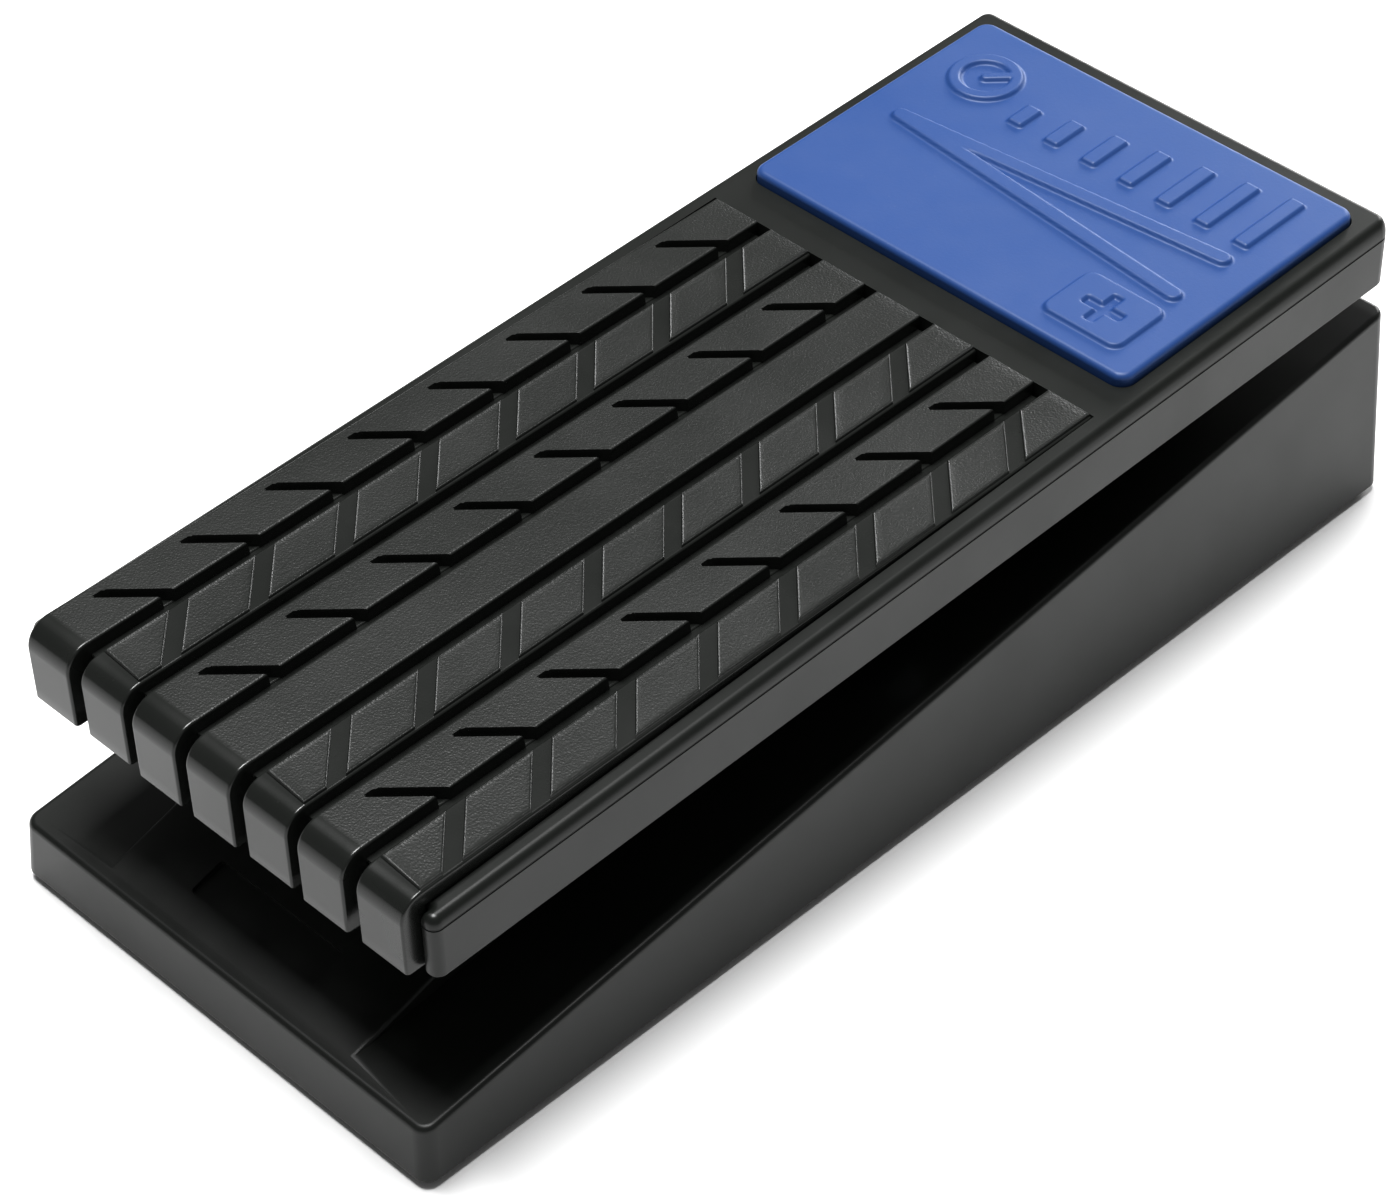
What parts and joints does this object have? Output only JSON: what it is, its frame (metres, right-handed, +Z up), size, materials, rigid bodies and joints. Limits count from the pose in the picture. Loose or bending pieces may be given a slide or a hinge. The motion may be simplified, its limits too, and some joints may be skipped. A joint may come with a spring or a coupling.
{
  "type": "volume pedal",
  "caption": "Rocking foot pedal on a low black base, with a ribbed tread, a blue badge plate, and jacks and a trim knob at the toe.",
  "frame": {"origin": "on the floor, under the middle of the whole object", "axes": "+Y towards the toe, +X to the right, +Z up"},
  "size_m": [0.11, 0.2772, 0.0724],
  "materials": {
    "case_black": "satin moulded black plastic",
    "tread_black": "finely grained black plastic",
    "badge_blue": "satin blue plastic",
    "plate_steel": "zinc-plated sheet",
    "foot_rubber": "matt",
    "screw_steel": "plated",
    "axle_steel": "ground",
    "bush_brass": "turned",
    "gear_nylon": "natural nylon",
    "jack_black": "moulded",
    "nut_nickel": "nickel plate",
    "trim_grey": "moulded",
    "board_brown": "phenolic board",
    "lead_plastic": "insulated wire"
  },
  "bodies": {
    "base": {"base_case": "case_black", "bottom_plate": "plate_steel", "pot_bracket": "plate_steel", "volume_pot": "plate_steel", "foot_heel_left": "foot_rubber", "foot_heel_right": "foot_rubber", "foot_toe_left": "foot_rubber", "foot_toe_right": "foot_rubber", "plate_screw_1": "screw_steel", "plate_screw_2": "screw_steel", "plate_screw_3": "screw_steel", "plate_screw_4": "screw_steel", "plate_screw_5": "screw_steel", "plate_screw_6": "screw_steel", "bracket_screw_1": "screw_steel", "bracket_screw_2": "screw_steel", "board_screw_1": "screw_steel", "board_screw_2": "screw_steel", "axle_bush_left": "bush_brass", "axle_bush_right": "bush_brass", "input_jack_left": "jack_black", "input_jack_right": "jack_black", "output_jack_left": "jack_black", "output_jack_right": "jack_black", "input_jack_left_nut": "nut_nickel", "input_jack_right_nut": "nut_nickel", "output_jack_left_nut": "nut_nickel", "output_jack_right_nut": "nut_nickel", "input_jack_left_washer": "nut_nickel", "input_jack_right_washer": "nut_nickel", "output_jack_left_washer": "nut_nickel", "output_jack_right_washer": "nut_nickel", "trim_pot_nut": "nut_nickel", "volume_pot_nut": "nut_nickel", "trim_pot": "trim_grey", "jack_board": "board_brown", "pot_lead_1": "lead_plastic", "pot_lead_2": "lead_plastic", "pot_lead_3": "lead_plastic"},
    "treadle": {"treadle_shell": "case_black", "tread_mat": "tread_black", "badge_plate": "badge_blue", "pivot_axle": "axle_steel", "axle_clip_left": "axle_steel", "axle_clip_right": "axle_steel", "thrust_washer_left": "gear_nylon", "thrust_washer_right": "gear_nylon", "sector_rack": "gear_nylon", "rack_screw_1": "screw_steel", "rack_screw_2": "screw_steel", "heel_bumper": "foot_rubber", "toe_bumper": "foot_rubber"},
    "pinion": {"pinion_gear": "gear_nylon", "pot_shaft": "axle_steel"},
    "knob": {"trim_knob": "trim_grey", "trim_shaft": "axle_steel"}
  },
  "joints": [
    {"name": "treadle_rock", "type": "hinge", "parent": "base", "child": "treadle", "pos_m": [0, -0.0056, 0.0415], "axis": [1, 0, 0], "range_deg": [-3, 12.5]},
    {"name": "pinion_spin", "type": "hinge", "parent": "base", "child": "pinion", "pos_m": [0, 0.08413, 0.03444], "axis": [1, 0, 0], "range_deg": [-214, 52]},
    {"name": "knob_turn", "type": "hinge", "parent": "base", "child": "knob", "pos_m": [0, 0.1296, 0.0255], "axis": [0, 1, 0], "range_deg": [-140, 140]}
  ],
  "couplings": [
    {"joint": "pinion_spin", "follows": "treadle_rock", "ratio": -17}
  ]
}
